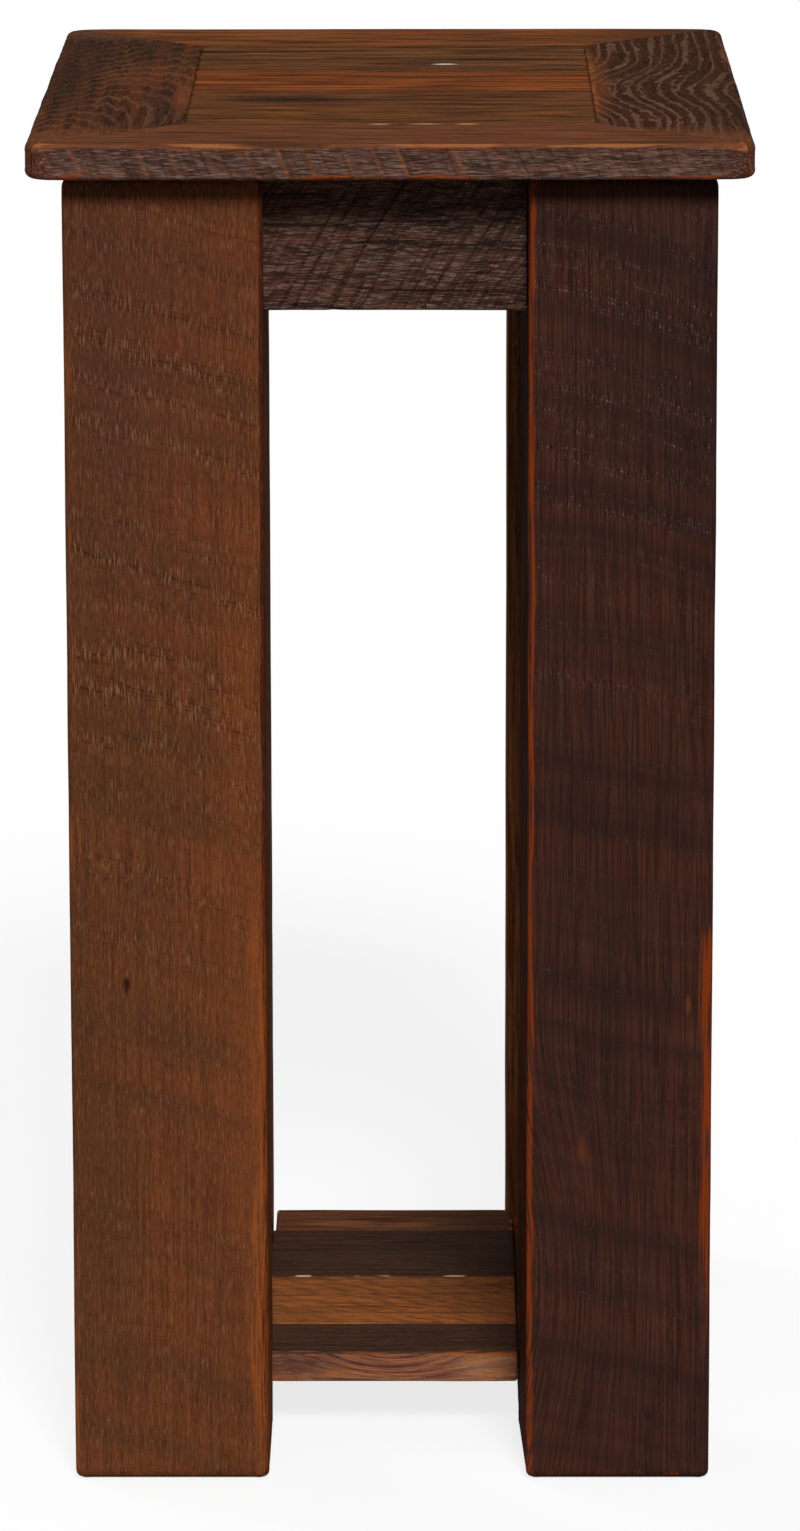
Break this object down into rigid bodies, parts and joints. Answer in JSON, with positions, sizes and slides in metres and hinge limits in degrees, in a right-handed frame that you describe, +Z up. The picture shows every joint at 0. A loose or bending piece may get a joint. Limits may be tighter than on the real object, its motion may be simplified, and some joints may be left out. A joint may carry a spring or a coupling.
{
  "type": "nightstand",
  "caption": "Tall, narrow open nightstand of reclaimed rough-sawn timber: mitred plank top on heavy square posts, aprons below the top and a low plank shelf near the floor.",
  "frame": {"origin": "centre of the nightstand's outline on the floor, level with the undersides of the feet", "axes": "+Z up; -Y the front, the side the picture shows; +X to the right as seen from the front"},
  "size_m": [0.356, 0.457, 0.684],
  "materials": {
    "frame_wood": "reclaimed timber, planed face and rough-sawn edges, dark satin lacquer",
    "panel_wood": "reclaimed planks, planed, dark satin lacquer",
    "leg_wood": "reclaimed rough-sawn posts, dark satin lacquer",
    "apron_wood": "reclaimed rough-sawn board, dark satin lacquer",
    "shelf_wood": "reclaimed planks, dark satin lacquer",
    "inner_wood": "plain sawn softwood, unfinished",
    "screw_steel": "zinc-plated"
  },
  "bodies": {
    "root": {"top_front_board": "frame_wood", "top_back_board": "frame_wood", "top_left_board": "frame_wood", "top_right_board": "frame_wood", "top_plank_1": "panel_wood", "top_plank_2": "panel_wood", "top_plank_3": "panel_wood", "top_plank_4": "panel_wood", "top_plank_5": "panel_wood", "mitre_spline_front_left": "inner_wood", "mitre_spline_front_right": "inner_wood", "mitre_spline_back_left": "inner_wood", "mitre_spline_back_right": "inner_wood", "top_batten_left": "inner_wood", "top_batten_right": "inner_wood", "top_cleat_left": "inner_wood", "top_cleat_right": "inner_wood", "leg_front_left": "leg_wood", "leg_front_right": "leg_wood", "leg_back_left": "leg_wood", "leg_back_right": "leg_wood", "apron_front": "apron_wood", "apron_back": "apron_wood", "apron_left": "apron_wood", "apron_right": "apron_wood", "shelf_rail_left": "shelf_wood", "shelf_rail_right": "shelf_wood", "shelf_plank_1": "shelf_wood", "shelf_plank_2": "shelf_wood", "shelf_plank_3": "shelf_wood", "shelf_plank_4": "shelf_wood", "batten_screw_left_1": "screw_steel", "batten_screw_left_2": "screw_steel", "batten_screw_left_3": "screw_steel", "batten_screw_left_4": "screw_steel", "batten_screw_left_5": "screw_steel", "batten_screw_right_1": "screw_steel", "batten_screw_right_2": "screw_steel", "batten_screw_right_3": "screw_steel", "batten_screw_right_4": "screw_steel", "batten_screw_right_5": "screw_steel", "cleat_screw_left_up_1": "screw_steel", "cleat_screw_left_up_2": "screw_steel", "cleat_screw_left_up_3": "screw_steel", "cleat_screw_left_across_1": "screw_steel", "cleat_screw_left_across_2": "screw_steel", "cleat_screw_right_up_1": "screw_steel", "cleat_screw_right_up_2": "screw_steel", "cleat_screw_right_up_3": "screw_steel", "cleat_screw_right_across_1": "screw_steel", "cleat_screw_right_across_2": "screw_steel"}
  },
  "joints": []
}
